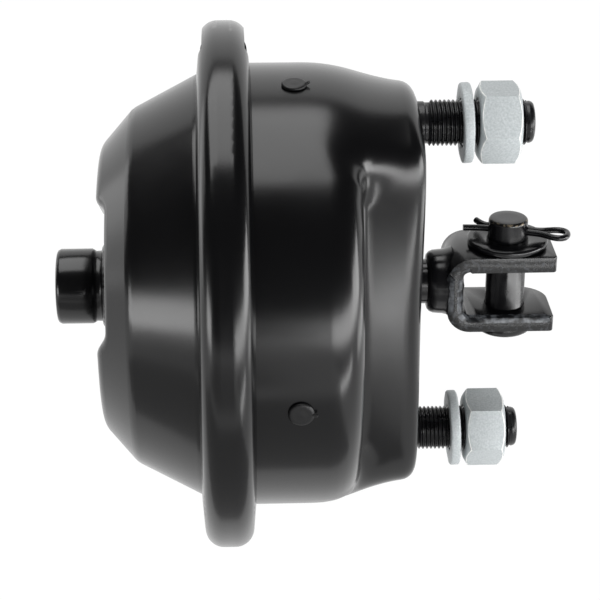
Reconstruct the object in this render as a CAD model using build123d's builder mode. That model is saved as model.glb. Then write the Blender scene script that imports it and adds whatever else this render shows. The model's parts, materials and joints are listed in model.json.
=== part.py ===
from build123d import *
from math import atan, cos, degrees, radians, sin, tan
import os

# Air brake chamber, Type 24, spring return, in millimetres.
# +X runs out along the pushrod and +Z points at the upper stud.
# The origin is where the pushrod's axis crosses the face that the mounting bracket sits on.
# Angles about the axis are counted from +Y towards +Z.

# Housings: every radius follows from the spacing of the studs, step by step outwards
sheet = 3.0  # steel sheet of both housings
stud_spacing = 120.65
cup_length = 67.0  # bracket face to the middle of the clamp ring
shoulder_radius = 12.0  # round from the cup's wall into its end
pad_height = 22.0  # the stud pad stands this far out of the cup's end
pad_margin = 13.6  # stud to the pad's end, at the pad's root
pad_half_width = 37.5  # middle to each of the pad's two flats, at the pad's root
pad_draft = 7.0  # degrees that the pad's walls lean in
pad_corner = 17.0
pad_edge = 6.0
pad_root = 5.0  # hollow round where the pad meets the cup
cup_step = 4.6  # the cup's wall stands this far outside the pad's root
dome_step = 3.3  # the pressure housing's mouth is this much inside the cup's wall
dome_cone_drop = 12.2  # mouth to the corner where the cone meets the flank
dome_length = 43.6  # middle of the clamp ring to the top of the lobes
dome_cone_length = 23.3
dome_flank_length = 11.6
dome_flank_angle = 49.0  # from the axis
dome_round = 8.0
relief_count = 3  # hollows between the lobes of the dome's end
relief_depth = 3.4
relief_half_width = 21.0
relief_wall_angle = 50.0  # from the axis
relief_round = 4.0
relief_start = 30.0

# Rims of both housings and the clamp ring around them
rim_width = 9.5  # outside the cup's wall
rim_gap = 4.8  # between the rims, at their edge
rim_slant = 5.5  # each rim leans in by this angle
rim_clearance = 2.4  # the rims' edge to the inside of the clamp ring
ring_sheet = 3.0
ring_lip_gap = 1.5  # the ring's lips to the cup's wall
ring_corner = 6.5
ring_inner_corner = 2.0
window_angles = (75.0, 255.0)
window_arc = 40.0
window_strap = 14.5  # band left between two windows
window_depth = 5.0  # from the outside of the ring
lug_angle = -15.0  # where the ring is split
lug_gap = 8.0
lug_thickness = 7.0
lug_width = 15.0
lug_height = 20.0  # beyond the ring
lug_bolt_height = 11.5
clamp_bolt_radius = 5.0
clamp_bolt_gap = 0.5
clamp_bolt_end = 4.0  # beyond its nut
clamp_hex_flats = 16.0
clamp_head_height = 6.4
clamp_nut_height = 8.0

# Mounting studs
stud_radius = 8.0
stud_length = 39.8  # beyond the bracket face
stud_shank_radius = 7.5
stud_shank_length = 2.0
stud_tip = 1.2
stud_head_radius = 11.5
stud_head_gap = 0.5  # the head's flat to the inside of the pad
stud_head_height = 5.0
stud_hole_gap = 0.2  # in the pad and in the plate behind it
stud_plate_thickness = 5.0
stud_plate_gap = 0.3  # to the walls of the pad
nut_flats = 25.0
nut_height = 14.4
nut_x = 20.4  # inner face of both nuts
nut_bore_gap = 0.02
upper_nut_turn = 3.0
lower_nut_turn = 7.5
washer_radius = 14.0
washer_thickness = 3.0
washer_bore_gap = 0.6
washer_x = 15.9  # middle of the washers
washer_lean = 2.0  # they hang loose on the threads
washer_drop = 0.4

# Air port
port_radius = 13.4
port_length = 16.4  # beyond the lobes
port_bore_radius = 7.19  # M16x1.5, at the crests
port_mouth_radius = 8.6
port_thread_end = 14.0  # from the mouth
port_passage_radius = 5.0  # on from there, into the housing
port_edge = 1.5
weld_radius = 16.7
weld_height = 4.2
weld_groove = 0.9

# Vent plugs
vent_angles = (7.5, 97.5, 187.5, 277.5)
vent_x = -43.3
vent_radius = 3.0
vent_head_radius = 4.3
vent_head_height = 1.5
vent_stem = 2.0  # inside the wall

# Pushrod, push plate and clevis
rod_radius = 8.0
push_plate_margin = 5.7  # the push plate's edge to the corner of the lobes
push_plate_sheet = 3.5
push_plate_lip = 6.0
push_plate_gap = 0.3  # to the diaphragm
clevis_x = 11.0  # outside of the clevis web
clevis_reach = 38.3  # web to the ends of the ears
clevis_gap = 17.2
clevis_sheet = 5.8
clevis_width = 26.0
clevis_inner_round = 2.75
clevis_ear_round = 8.0
neck_radius = 11.5
neck_length = 6.5
neck_round = 3.0

# Clevis pin with its washer and split pin
pin_radius = 7.0
pin_x = 33.2
pin_hole_gap = 0.08
pin_head_radius = 10.5
pin_head_height = 4.0
pin_head_round = 1.5
pin_end = 7.3  # beyond the washer
pin_tip = 1.5
pin_play = 0.3
pin_washer_radius = 14.4
pin_washer_thickness = 2.5
split_pin_wire = 1.15
split_pin_slit = 0.05  # between its legs
split_pin_gap = 0.1
split_pin_height = 2.8  # above the washer
split_pin_turn = -18.0
split_pin_eye = 3.3  # half the width of the eye, to the middle of the wire
split_pin_eye_start = 12.5  # from the pin's axis
split_pin_eye_end = 21.5
split_pin_bend = 9.0  # from the pin's axis to where the legs part
split_pin_tail = 7.0
split_pin_splay = 26.0

# Diaphragm, return spring and rod seal
rubber = 3.2
rubber_gap = 0.6
bead_gap = 1.0  # the diaphragm's edge to the edge of the rims
spring_wire = 2.6
spring_seat_radius = 25.0
spring_plate_radius = 35.0
spring_turns = 4.5
seal_flange_radius = 30.0
seal_flange = 2.5
seal_hub_radius = 14.0
seal_hub_gap = 0.2
rod_gap = 0.3

# Places and radii that follow from the sizes above
stud_z = stud_spacing / 2
pad_radius = stud_z + pad_margin
cup_radius = pad_radius + cup_step
rim_radius = cup_radius + rim_width
ring_radius = rim_radius + rim_clearance + ring_sheet
ring_lip_radius = cup_radius + ring_lip_gap
dome_mouth_radius = cup_radius - dome_step
dome_corner_radius = dome_mouth_radius - dome_cone_drop
pad_lean = tan(radians(pad_draft))
ring_x = -cup_length
dome_x = ring_x - dome_length
dome_corner_x = dome_x + dome_flank_length
dome_mouth_x = dome_corner_x + dome_cone_length
lobe_radius = dome_corner_radius - dome_flank_length * tan(radians(dome_flank_angle))
relief_x = dome_x + relief_depth
plate_x = -sheet - stud_plate_thickness
seal_x = plate_x - seal_flange
bag_inset = relief_depth + sheet + rubber_gap
push_plate_x = dome_x + bag_inset + rubber + push_plate_gap
push_plate_radius = lobe_radius - push_plate_margin
plate_inset = (pad_height - sheet) * pad_lean + sheet / cos(radians(pad_draft)) + stud_plate_gap
stud_head_flat = pad_margin + stud_plate_gap - plate_inset - stud_head_gap
ear_z = clevis_gap / 2 + clevis_sheet
pin_washer_z = ear_z + pin_play
split_pin_z = pin_washer_z + pin_washer_thickness + split_pin_height


def rim_inner(radius):
    """Half the gap between the rims at a radius: each rim leans in towards its edge."""
    return rim_gap / 2 + (rim_radius - radius) * tan(radians(rim_slant))


def rim_outer(radius):
    """From the ring's middle to the outside of a rim, where the clamp ring bears on it."""
    return rim_inner(radius) + sheet / cos(radians(rim_slant))


def ring_outer(radius):
    """From the ring's middle to the outside of the clamp ring's sides."""
    return rim_outer(radius) + ring_sheet / cos(radians(rim_slant))


def outward(angle, x=0.0, radius=0.0):
    """A plane that faces away from the axis, with its x along the axis."""
    way = (0, cos(radians(angle)), sin(radians(angle)))
    return Plane(origin=(x, radius * way[1], radius * way[2]), x_dir=(1, 0, 0), z_dir=way)


def half_plane(angle):
    """The plane through the axis at an angle: its x runs along the axis and its y outward."""
    return Plane(origin=(0, 0, 0), x_dir=(1, 0, 0), z_dir=(0, -sin(radians(angle)), cos(radians(angle))))


def across(angle, x, radius, step):
    """A plane square to the way round the axis, a step past the radius at an angle."""
    out = (cos(radians(angle)), sin(radians(angle)))
    origin = (x, radius * out[0] - step * out[1], radius * out[1] + step * out[0])
    return Plane(origin=origin, x_dir=(1, 0, 0), z_dir=(0, -out[1], out[0]))


def save(piece, name):
    """Label a finished piece and write it to its own file."""
    piece.part.label = name
    export_step(piece.part, f"parts/{name}.step")


def stud_plane(x, side, turn=0.0):
    """A plane square to a stud, on the upper (+1) or lower (-1) one."""
    way = (0, cos(radians(turn)), sin(radians(turn)))
    return Plane(origin=(x, 0, side * stud_z), x_dir=way, z_dir=(1, 0, 0))


def hexagon(flats, height, bore=0.0):
    """A hexagonal head or nut that stands on the XY plane, with its corners turned off."""
    corner = flats / 2 / cos(radians(30))
    bevel = corner - flats / 2
    with BuildPart() as form:
        with BuildSketch():
            RegularPolygon(flats / 2, 6, major_radius=False)
        extrude(amount=height)
        with BuildSketch(Plane.XZ):
            with BuildLine():
                Polyline(
                    (0, 0),
                    (flats / 2, 0),
                    (corner, bevel / 2),
                    (corner, height - bevel / 2),
                    (flats / 2, height),
                    (0, height),
                    close=True,
                )
            make_face()
        revolve(axis=Axis.Z, mode=Mode.INTERSECT)
        if bore:
            Hole(bore)
    return form.part


def rim_section(side, wall_radius):
    """Half-section of a housing's rim, on the side of the ring given by +1 or -1."""
    with BuildSketch() as section:
        with BuildLine():
            Polyline(
                (ring_x + side * rim_inner(wall_radius), wall_radius),
                (ring_x + side * rim_inner(rim_radius), rim_radius),
                (ring_x + side * rim_outer(rim_radius), rim_radius),
                (ring_x + side * rim_outer(wall_radius), wall_radius),
                close=True,
            )
        make_face()
    return section.sketch


def pad_outline(growth):
    """The stud pad seen along the axis: a circle with two flats, moved out from the pad's root by growth."""
    with BuildSketch() as section:
        Circle(pad_radius + growth)
        Rectangle(2 * (pad_half_width + growth), 2 * (pad_radius + growth), mode=Mode.INTERSECT)
        fillet(section.vertices(), pad_corner + growth)
    return section.sketch


def dome_section(inset):
    """Half-section of the pressure housing's dome, filled, with its outline moved in by inset."""
    with BuildSketch() as section:
        with BuildLine() as outline:
            FilletPolyline(
                (ring_x + dome_length, 0),
                (ring_x + dome_length, dome_mouth_radius),
                (dome_mouth_x, dome_mouth_radius),
                (dome_corner_x, dome_corner_radius),
                (dome_x, lobe_radius),
                (dome_x, 0),
                radius=dome_round,
            )
            mirror(outline.line, about=Plane.XZ)
        make_face()
        if inset:
            offset(amount=-inset, kind=Kind.INTERSECTION)
        with Locations((ring_x - rim_outer(dome_mouth_radius), 0)):
            Rectangle(dome_length, cup_radius, align=(Align.MAX, Align.MIN), mode=Mode.INTERSECT)
    return section.sketch


os.makedirs("parts", exist_ok=True)

# Non-pressure housing: a drawn cup with a flat-sided pad for the studs and a clamping rim
with BuildPart() as non_pressure_housing:
    cup_mouth_x = ring_x + (rim_inner(cup_radius) + rim_outer(cup_radius)) / 2
    with BuildSketch():
        with BuildLine():
            Polyline(
                (-pad_height, 0),
                (cup_mouth_x, 0),
                (cup_mouth_x, cup_radius),
                (-pad_height - shoulder_radius, cup_radius),
            )
            RadiusArc(
                (-pad_height - shoulder_radius, cup_radius),
                (-pad_height, cup_radius - shoulder_radius),
                shoulder_radius,
            )
            Line((-pad_height, cup_radius - shoulder_radius), (-pad_height, 0))
        make_face()
    revolve(axis=Axis.X)
    with BuildSketch(Plane.YZ.offset(-pad_height - shoulder_radius)) as pad:
        add(pad_outline(shoulder_radius * pad_lean))
    extrude(amount=pad_height + shoulder_radius, taper=pad_draft)
    fillet(non_pressure_housing.edges(Select.NEW), pad_root)
    fillet(non_pressure_housing.faces().sort_by(Axis.X)[-1].edges(), pad_edge)
    offset(amount=-sheet, openings=non_pressure_housing.faces().sort_by(Axis.X)[0])
    with BuildSketch():
        add(rim_section(1, cup_radius - sheet))
    revolve(axis=Axis.X)
    with BuildSketch(Plane.YZ):
        Circle(seal_hub_radius + seal_hub_gap)
        with GridLocations(0, stud_spacing, 1, 2):
            Circle(stud_radius + stud_hole_gap)
    extrude(amount=-2 * sheet, mode=Mode.SUBTRACT)
    for vent_angle in vent_angles:
        with BuildSketch(outward(vent_angle, vent_x, cup_radius - 2 * sheet)):
            Circle(vent_radius)
        extrude(amount=3 * sheet, mode=Mode.SUBTRACT)
save(non_pressure_housing, "non_pressure_housing")

# Pressure housing: a coned dome whose end has three raised lobes, with the air port's hole
with BuildPart() as pressure_housing:
    with BuildSketch():
        add(dome_section(0))
    revolve(axis=Axis.X)
    relief_top = relief_half_width + 2 * relief_depth * tan(radians(relief_wall_angle))
    for relief in range(relief_count):
        with BuildSketch(outward(relief_start + relief * 360 / relief_count)):
            with BuildLine():
                Polyline(
                    (relief_x, -relief_half_width),
                    (relief_x - 2 * relief_depth, -relief_top),
                    (relief_x - 2 * relief_depth, relief_top),
                    (relief_x, relief_half_width),
                    close=True,
                )
            make_face()
        extrude(amount=cup_radius, mode=Mode.SUBTRACT)
    lobe_edges = pressure_housing.edges().filter_by(lambda e: e.center().X < relief_x + 0.01)
    fillet(lobe_edges, relief_round)
    offset(amount=-sheet, openings=pressure_housing.faces().sort_by(Axis.X)[-1])
    with BuildSketch():
        add(rim_section(-1, dome_mouth_radius - sheet))
    revolve(axis=Axis.X)
    with BuildSketch(Plane.YZ.offset(dome_x)):
        Circle(port_radius)
    extrude(amount=3 * sheet, mode=Mode.SUBTRACT)
save(pressure_housing, "pressure_housing")

# Air port: a turned boss, threaded inside and welded into the middle of the dome's end
with BuildPart() as air_port:
    port_x = dome_x - port_length
    mouth_depth = port_mouth_radius - port_bore_radius
    with BuildSketch() as port_section:
        with BuildLine():
            Polyline(
                (port_x, port_mouth_radius),
                (port_x, port_radius),
                (relief_x - weld_height - 2 * weld_groove, port_radius),
                (relief_x - weld_height - weld_groove, port_radius - weld_groove),
                (relief_x - weld_height, port_radius - weld_groove / 2),
                (relief_x - weld_height / 3, weld_radius),
                (relief_x, weld_radius),
                (relief_x, port_radius),
                (relief_x + sheet, port_radius),
                (relief_x + sheet, port_passage_radius),
                (port_x + port_thread_end, port_passage_radius),
                (port_x + port_thread_end, port_bore_radius),
                (port_x + mouth_depth, port_bore_radius),
                close=True,
            )
        make_face()
        fillet(port_section.vertices().sort_by(Axis.X)[:2].sort_by(Axis.Y)[-1], port_edge)
    revolve(axis=Axis.X)
save(air_port, "air_port")

# Diaphragm: a rubber bag with a wedge-shaped edge that the two rims squeeze
with BuildPart() as diaphragm:
    web_radius = dome_mouth_radius - bag_inset - rubber
    with BuildSketch():
        add(dome_section(bag_inset))
        add(dome_section(bag_inset + rubber), mode=Mode.SUBTRACT)
        with Locations((ring_x - rim_outer(dome_mouth_radius), web_radius)):
            Rectangle(rim_outer(dome_mouth_radius) + rubber / 2, rubber, align=Align.MIN)
        with Locations((ring_x, web_radius)):
            Rectangle(rubber, cup_radius - web_radius + 1, align=(Align.CENTER, Align.MIN))
        with BuildLine():
            Polyline(
                (ring_x - rim_inner(cup_radius), cup_radius),
                (ring_x - rim_inner(rim_radius - bead_gap), rim_radius - bead_gap),
                (ring_x + rim_inner(rim_radius - bead_gap), rim_radius - bead_gap),
                (ring_x + rim_inner(cup_radius), cup_radius),
                close=True,
            )
        make_face()
    revolve(axis=Axis.X)
save(diaphragm, "diaphragm")

# Clamp ring: a rolled channel that pulls both rims together, split once and windowed twice
with BuildPart() as clamp_ring:
    strap_radius = ring_radius - ring_sheet
    with BuildSketch() as channel:
        with BuildLine():
            Polyline(
                (ring_x - ring_outer(ring_lip_radius), ring_lip_radius),
                (ring_x - ring_outer(ring_radius), ring_radius),
                (ring_x + ring_outer(ring_radius), ring_radius),
                (ring_x + ring_outer(ring_lip_radius), ring_lip_radius),
                (ring_x + rim_outer(ring_lip_radius), ring_lip_radius),
                (ring_x + rim_outer(strap_radius), strap_radius),
                (ring_x - rim_outer(strap_radius), strap_radius),
                (ring_x - rim_outer(ring_lip_radius), ring_lip_radius),
                close=True,
            )
        make_face()
        fillet(channel.vertices().group_by(Axis.Y)[-1], ring_corner)
        inner_corners = channel.vertices().filter_by_position(Axis.Y, strap_radius, strap_radius)
        fillet(inner_corners, ring_inner_corner)
    revolve(axis=Axis.X)
    window_inner = rim_outer(rim_radius) - ring_sheet / 2
    window_outer = window_strap / 2 + ring_corner
    for side in (-1, 1):
        for window_angle in window_angles:
            with BuildSketch(half_plane(window_angle - window_arc / 2)):
                with BuildLine():
                    Polyline(
                        (ring_x + side * window_inner, ring_lip_radius - 1),
                        (ring_x + side * window_inner, ring_radius - window_depth),
                        (ring_x + side * window_strap / 2, strap_radius),
                        (ring_x + side * window_strap / 2, ring_radius + 1),
                        (ring_x + side * window_outer, ring_radius + 1),
                        (ring_x + side * window_outer, ring_lip_radius - 1),
                        close=True,
                    )
                make_face()
            revolve(axis=Axis.X, revolution_arc=window_arc, mode=Mode.SUBTRACT)
    with BuildSketch(outward(lug_angle, ring_x, ring_lip_radius / 2)):
        Rectangle(3 * ring_corner + window_strap, lug_gap)
    extrude(amount=ring_radius, mode=Mode.SUBTRACT)
    for side in (-1, 1):
        with BuildSketch(half_plane(lug_angle).offset(side * lug_gap / 2)) as lug:
            with Locations((ring_x, ring_radius - ring_sheet / 2)):
                Rectangle(lug_width, lug_height + ring_sheet / 2, align=(Align.CENTER, Align.MIN))
            fillet(lug.vertices().group_by(Axis.Y)[-1], lug_width / 2 - 1)
            with Locations((ring_x, ring_radius + lug_bolt_height)):
                Circle(clamp_bolt_radius + clamp_bolt_gap, mode=Mode.SUBTRACT)
        extrude(amount=side * lug_thickness)
save(clamp_ring, "clamp_ring")

# Clamp bolt and its nut, across the split
bolt_circle = ring_radius + lug_bolt_height
lug_side = lug_gap / 2 + lug_thickness
with BuildPart() as clamp_bolt:
    with Locations(across(lug_angle, ring_x, bolt_circle, lug_side)):
        add(hexagon(clamp_hex_flats, clamp_head_height))
        Cylinder(
            clamp_bolt_radius,
            2 * lug_side + clamp_nut_height + clamp_bolt_end,
            align=(Align.CENTER, Align.CENTER, Align.MAX),
        )
save(clamp_bolt, "clamp_bolt")

with BuildPart() as clamp_nut:
    with Locations(across(lug_angle, ring_x, bolt_circle, -lug_side - clamp_nut_height)):
        add(hexagon(clamp_hex_flats, clamp_nut_height, clamp_bolt_radius))
save(clamp_nut, "clamp_nut")

# Reinforcing plate behind the stud pad
with BuildPart() as stud_plate:
    with BuildSketch(Plane.YZ.offset(-sheet)):
        add(pad_outline(-plate_inset))
    extrude(amount=-stud_plate_thickness)
    chamfer(stud_plate.faces().sort_by(Axis.X)[-1].edges(), pad_edge - sheet)
    with BuildSketch(Plane.YZ.offset(-sheet)):
        Circle(seal_hub_radius + seal_hub_gap)
        with GridLocations(0, stud_spacing, 1, 2):
            Circle(stud_radius + stud_hole_gap)
    extrude(amount=-stud_plate_thickness, mode=Mode.SUBTRACT)
save(stud_plate, "stud_plate")

# Mounting studs, washers and nuts, upper and lower
for stud_name, side, nut_turn in (("upper", 1, upper_nut_turn), ("lower", -1, lower_nut_turn)):
    with BuildPart() as stud:
        with BuildSketch(stud_plane(plate_x, side)) as head:
            Circle(stud_head_radius)
            with Locations((0, side * (stud_head_flat - stud_head_radius))):
                Rectangle(2 * stud_head_radius, 2 * stud_head_radius, mode=Mode.INTERSECT)
        extrude(amount=-stud_head_height)
        with BuildSketch(stud_plane(plate_x, side)):
            Circle(stud_shank_radius)
        extrude(amount=stud_shank_length - plate_x)
        with BuildSketch(stud_plane(stud_shank_length, side)):
            Circle(stud_radius)
        extrude(amount=stud_length - stud_shank_length)
        chamfer(stud.edges().sort_by(Axis.X)[-1], stud_tip)
    save(stud, f"{stud_name}_stud")

    with BuildPart() as washer:
        lean = Plane(
            origin=(washer_x, 0, side * stud_z - washer_drop),
            x_dir=(0, 1, 0),
            z_dir=(cos(radians(washer_lean)), 0, sin(radians(washer_lean))),
        )
        with BuildSketch(lean):
            Circle(washer_radius)
            Circle(stud_radius + washer_bore_gap, mode=Mode.SUBTRACT)
        extrude(amount=washer_thickness / 2, both=True)
        chamfer(washer.edges().filter_by(GeomType.CIRCLE).sort_by(SortBy.RADIUS)[-2:], washer_thickness / 8)
    save(washer, f"{stud_name}_washer")

    with BuildPart() as nut:
        with Locations(stud_plane(nut_x, side, nut_turn)):
            add(hexagon(nut_flats, nut_height, stud_radius + nut_bore_gap))
    save(nut, f"{stud_name}_nut")

# Rubber plugs in the four vent and drain holes
for number, vent_angle in enumerate(vent_angles, 1):
    with BuildPart() as vent_plug:
        with BuildSketch(outward(vent_angle, vent_x, cup_radius - sheet - vent_stem)):
            Circle(vent_radius)
        extrude(amount=sheet + vent_stem)
        with BuildSketch(outward(vent_angle, vent_x, cup_radius)):
            Circle(vent_head_radius)
        extrude(amount=vent_head_height)
        fillet(vent_plug.edges().sort_by(lambda e: e.center().length)[-1], vent_head_height / 2)
    save(vent_plug, f"vent_plug_{number}")

# Rod seal: a flanged rubber bush that the return spring holds against the plate
with BuildPart() as rod_seal:
    with BuildSketch():
        with BuildLine():
            Polyline(
                (seal_x, rod_radius + rod_gap),
                (seal_x, seal_flange_radius),
                (plate_x, seal_flange_radius),
                (plate_x, seal_hub_radius),
                (-sheet / 4, seal_hub_radius),
                (-sheet / 4, rod_radius + rod_gap),
                close=True,
            )
        make_face()
    revolve(axis=Axis.X)
save(rod_seal, "rod_seal")

# Return spring: a cone of round wire, its small end on the seal and its large end on the push plate
with BuildPart() as return_spring:
    spring_x = seal_x - spring_wire
    spring_length = spring_x - push_plate_x - push_plate_sheet - spring_wire
    with BuildLine() as coil:
        Helix(
            spring_length / spring_turns,
            spring_length,
            spring_seat_radius,
            center=(spring_x, 0, 0),
            direction=(-1, 0, 0),
            cone_angle=degrees(atan((spring_plate_radius - spring_seat_radius) / spring_length)),
        )
    with BuildSketch(Plane(origin=coil.line @ 0, z_dir=coil.line % 0)):
        Circle(spring_wire)
    sweep()
save(return_spring, "return_spring")

# Push plate: a pressed disc with a turned lip
with BuildPart() as push_plate:
    with BuildSketch() as plate_section:
        with BuildLine():
            Polyline(
                (push_plate_x, rod_radius),
                (push_plate_x, push_plate_radius),
                (push_plate_x + push_plate_sheet + push_plate_lip, push_plate_radius),
                (push_plate_x + push_plate_sheet + push_plate_lip, push_plate_radius - push_plate_sheet),
                (push_plate_x + push_plate_sheet, push_plate_radius - push_plate_sheet),
                (push_plate_x + push_plate_sheet, rod_radius),
                close=True,
            )
        make_face()
        outer_corner = plate_section.vertices().sort_by(Axis.X)[:2].sort_by(Axis.Y)[-1]
        fillet(outer_corner, push_plate_sheet + 1)
    revolve(axis=Axis.X)
save(push_plate, "push_plate")

# Pushrod
with BuildPart() as pushrod:
    with BuildSketch(Plane.YZ.offset(push_plate_x)):
        Circle(rod_radius)
    extrude(amount=clevis_x - push_plate_x)
save(pushrod, "pushrod")

# Clevis: a bent strap with two eared ends, welded to the rod by a smooth neck
with BuildPart() as clevis:
    with BuildSketch(Plane.XZ) as strap:
        with Locations((clevis_x, 0)):
            Rectangle(clevis_reach, 2 * ear_z, align=(Align.MIN, Align.CENTER))
        fillet(strap.vertices().sort_by(Axis.X)[:2], clevis_sheet + clevis_inner_round)
        with BuildSketch(mode=Mode.PRIVATE) as slot:
            with Locations((clevis_x + clevis_sheet, 0)):
                Rectangle(clevis_reach, clevis_gap, align=(Align.MIN, Align.CENTER))
            fillet(slot.vertices().sort_by(Axis.X)[:2], clevis_inner_round)
        add(slot.sketch, mode=Mode.SUBTRACT)
    extrude(amount=clevis_width / 2, both=True)
    ear_ends = clevis.edges().filter_by(Axis.Z).group_by(Axis.X)[-1]
    fillet(ear_ends, clevis_ear_round)
    with BuildSketch(Plane.XY.offset(-ear_z)):
        with Locations((pin_x, 0)):
            Circle(pin_radius + pin_hole_gap)
    extrude(amount=2 * ear_z, mode=Mode.SUBTRACT)
    with BuildSketch(Plane.YZ.offset(clevis_x - neck_length)):
        Circle(neck_radius)
    extrude(amount=neck_length + clevis_sheet / 2)
    fillet(clevis.edges().sort_by(Axis.X)[0], neck_round)
    with BuildSketch(Plane.YZ.offset(clevis_x)):
        Circle(rod_radius)
    extrude(amount=-neck_length, mode=Mode.SUBTRACT)
save(clevis, "clevis")

# Clevis pin, headed below and drilled across for the split pin
with BuildPart() as clevis_pin:
    pin_top = pin_washer_z + pin_washer_thickness + pin_end
    with BuildSketch(Plane(origin=(pin_x, 0, 0), x_dir=(1, 0, 0), z_dir=(0, -1, 0))) as pin_section:
        with BuildLine():
            Polyline(
                (0, -ear_z - pin_play - pin_head_height),
                (pin_head_radius, -ear_z - pin_play - pin_head_height),
                (pin_head_radius, -ear_z - pin_play),
                (pin_radius, -ear_z - pin_play),
                (pin_radius, pin_top - pin_tip / 2),
                (pin_radius - pin_tip, pin_top),
                (0, pin_top),
                close=True,
            )
        make_face()
        fillet(pin_section.vertices().group_by(Axis.Y)[0].sort_by(Axis.X)[-1], pin_head_round)
    revolve(axis=Axis((pin_x, 0, 0), (0, 0, 1)))
    split_plane = Plane(origin=(pin_x, 0, split_pin_z), z_dir=(0, 0, 1)).rotated((0, 0, split_pin_turn))
    with BuildSketch(Plane(origin=split_plane.origin, x_dir=(0, 0, 1), z_dir=split_plane.x_dir)):
        Circle(2 * split_pin_wire + split_pin_gap)
    extrude(amount=2 * pin_radius, both=True, mode=Mode.SUBTRACT)
save(clevis_pin, "clevis_pin")

# Washer on the upper ear
with BuildPart() as pin_washer:
    with BuildSketch(Plane.XY.offset(pin_washer_z)):
        with Locations((pin_x, 0)):
            Circle(pin_washer_radius)
            Circle(pin_radius, mode=Mode.SUBTRACT)
    extrude(amount=pin_washer_thickness)
    washer_rims = pin_washer.edges().filter_by(GeomType.CIRCLE).sort_by(SortBy.RADIUS)[-2:]
    fillet(washer_rims, pin_washer_thickness / 4)
save(pin_washer, "pin_washer")

# Split pin: one wire doubled back through an eye, its two tails spread
with BuildPart() as split_pin:
    leg = split_pin_wire + split_pin_slit / 2
    tail_x = -split_pin_bend - split_pin_tail * cos(radians(split_pin_splay))
    tail_y = leg + split_pin_tail * sin(radians(split_pin_splay))
    with BuildLine(split_plane) as wire:
        FilletPolyline(
            (tail_x, -tail_y),
            (-split_pin_bend, -leg),
            (split_pin_eye_start, -leg),
            (split_pin_eye_start + split_pin_eye, -split_pin_eye),
            (split_pin_eye_end, -split_pin_eye),
            (split_pin_eye_end, split_pin_eye),
            (split_pin_eye_start + split_pin_eye, split_pin_eye),
            (split_pin_eye_start, leg),
            (-split_pin_bend, leg),
            (tail_x, tail_y),
            radius=split_pin_wire * 1.6,
        )
    with BuildSketch(Plane(origin=wire.line @ 0, z_dir=wire.line % 0)):
        Circle(split_pin_wire)
    sweep()
save(split_pin, "split_pin")
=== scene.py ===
# %% [markdown]
# # An air brake chamber in Blender
# A brake chamber turns air pressure into a push on a rod. Two pressed steel housings are
# clamped rim to rim by a ring, two studs hold the whole on a bracket, and a clevis on the
# rod's end takes the brake's lever. The exact solids come from a CAD file. This script
# dresses them: it gives each solid its finish, and it swaps the small steel parts for
# meshes with the threads, rough edges and soft corners that the real ones have.

# %% Load the solids and keep the size of their box
import json
from math import atan2, cos, hypot, pi, radians, sin, tan

import bmesh
import bpy
from mathutils import Matrix, Vector, noise


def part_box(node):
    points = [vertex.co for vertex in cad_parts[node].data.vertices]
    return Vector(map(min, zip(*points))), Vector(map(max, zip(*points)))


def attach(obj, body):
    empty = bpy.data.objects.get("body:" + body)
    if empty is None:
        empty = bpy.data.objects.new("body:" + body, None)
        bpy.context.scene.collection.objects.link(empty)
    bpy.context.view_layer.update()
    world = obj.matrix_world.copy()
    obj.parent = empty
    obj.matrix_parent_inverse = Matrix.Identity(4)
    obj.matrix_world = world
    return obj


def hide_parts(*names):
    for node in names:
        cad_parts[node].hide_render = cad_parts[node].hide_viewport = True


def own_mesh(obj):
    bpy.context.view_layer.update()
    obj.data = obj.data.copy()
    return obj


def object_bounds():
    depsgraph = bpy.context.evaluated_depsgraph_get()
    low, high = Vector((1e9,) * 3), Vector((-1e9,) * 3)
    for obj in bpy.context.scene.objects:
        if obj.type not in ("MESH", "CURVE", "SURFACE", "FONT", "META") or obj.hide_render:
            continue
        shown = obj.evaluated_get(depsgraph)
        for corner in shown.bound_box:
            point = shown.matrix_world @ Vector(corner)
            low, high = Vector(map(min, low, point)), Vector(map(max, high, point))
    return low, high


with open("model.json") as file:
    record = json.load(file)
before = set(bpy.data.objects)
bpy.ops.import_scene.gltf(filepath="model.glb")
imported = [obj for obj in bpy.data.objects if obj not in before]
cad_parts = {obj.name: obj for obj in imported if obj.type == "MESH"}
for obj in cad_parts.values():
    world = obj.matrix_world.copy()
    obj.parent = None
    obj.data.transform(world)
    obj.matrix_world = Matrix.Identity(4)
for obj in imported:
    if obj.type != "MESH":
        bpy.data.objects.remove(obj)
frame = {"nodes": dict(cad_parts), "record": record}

cad_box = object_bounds()
nodes = frame["nodes"]
MM = 0.001
print("solids:", len(nodes))

# %% [markdown]
# ## Helpers for materials
# Every finish below is a small tree of shader nodes. One function adds a node, fills in
# its settings and joins its links. Another turns the hex colours that a colour picker
# shows into the linear values that the shader wants. A third turns a real grain size into
# the scale of a noise texture, so that each pattern can be written in millimetres.

# %% Colour, node and scale helpers


def linear(hex_colour):
    """An sRGB hex colour as linear RGBA."""
    channels = [int(hex_colour[i : i + 2], 16) / 255 for i in (1, 3, 5)]
    return [c / 12.92 if c <= 0.04045 else ((c + 0.055) / 1.055) ** 2.4 for c in channels] + [1.0]


def add_node(tree, kind, values=None, links=None, **settings):
    """Add a node: values fill its sockets, links join them to others, settings are its options."""
    made = tree.nodes.new(kind)
    for key, value in settings.items():
        setattr(made, key, value)
    for key, value in (values or {}).items():
        made.inputs[key].default_value = value
    for key, source in (links or {}).items():
        tree.links.new(source, made.inputs[key])
    return made


def noise_scale(blob_mm):
    """The scale of a noise texture whose blobs are about so many millimetres across."""
    return 0.5 / (blob_mm * MM)


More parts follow.
